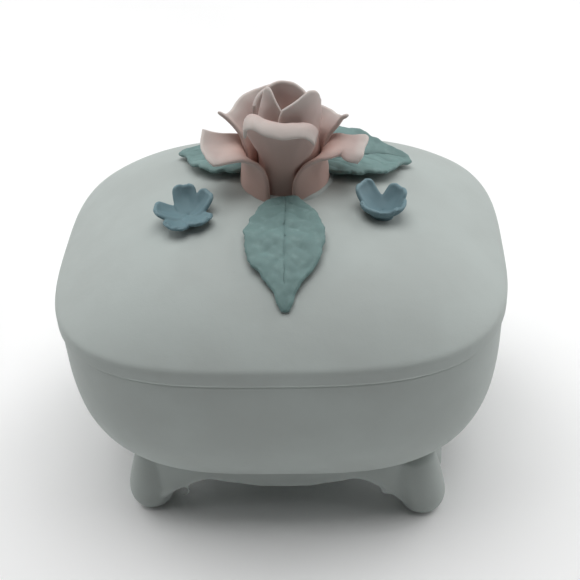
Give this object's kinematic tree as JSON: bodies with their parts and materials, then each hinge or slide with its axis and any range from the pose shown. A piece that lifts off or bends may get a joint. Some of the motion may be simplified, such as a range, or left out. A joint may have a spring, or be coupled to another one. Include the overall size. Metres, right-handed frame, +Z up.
{
  "type": "trinket box",
  "caption": "Footed bisque porcelain trinket box with a lift-off domed lid, topped by a hand-built rose, leaves and small blossoms.",
  "frame": {"origin": "midway between the feet, on the plane that they stand on", "axes": "+X is to the right of someone facing the box, -Y is towards them, +Z is up, the way the lid lifts off"},
  "size_m": [0.084, 0.074, 0.0789],
  "materials": {
    "white_bisque": "unglazed, matt",
    "pink_bisque": "tinted clay, unglazed, matt",
    "green_bisque": "tinted clay, unglazed, matt",
    "blue_bisque": "tinted clay, unglazed, matt"
  },
  "bodies": {
    "box": {"base_bowl": "white_bisque", "footed_stand": "white_bisque"},
    "lid_assembly": {"lid": "white_bisque", "rose_collar": "white_bisque", "rose_core": "pink_bisque", "rose_bud_petal_left": "pink_bisque", "rose_bud_petal_right": "pink_bisque", "rose_bud_petal_back": "pink_bisque", "rose_outer_petal_front": "pink_bisque", "rose_outer_petal_low_left": "pink_bisque", "rose_outer_petal_low_right": "pink_bisque", "rose_outer_petal_back_left": "pink_bisque", "rose_outer_petal_back_right": "pink_bisque", "leaf_front": "green_bisque", "leaf_back_right": "green_bisque", "leaf_back_left": "green_bisque", "flower_left": "blue_bisque", "flower_right": "blue_bisque"}
  },
  "joints": [
    {"name": "lid_lift", "type": "slide", "parent": "box", "child": "lid_assembly", "axis": [0, 0, 1], "range_m": [0, 0.06]}
  ]
}
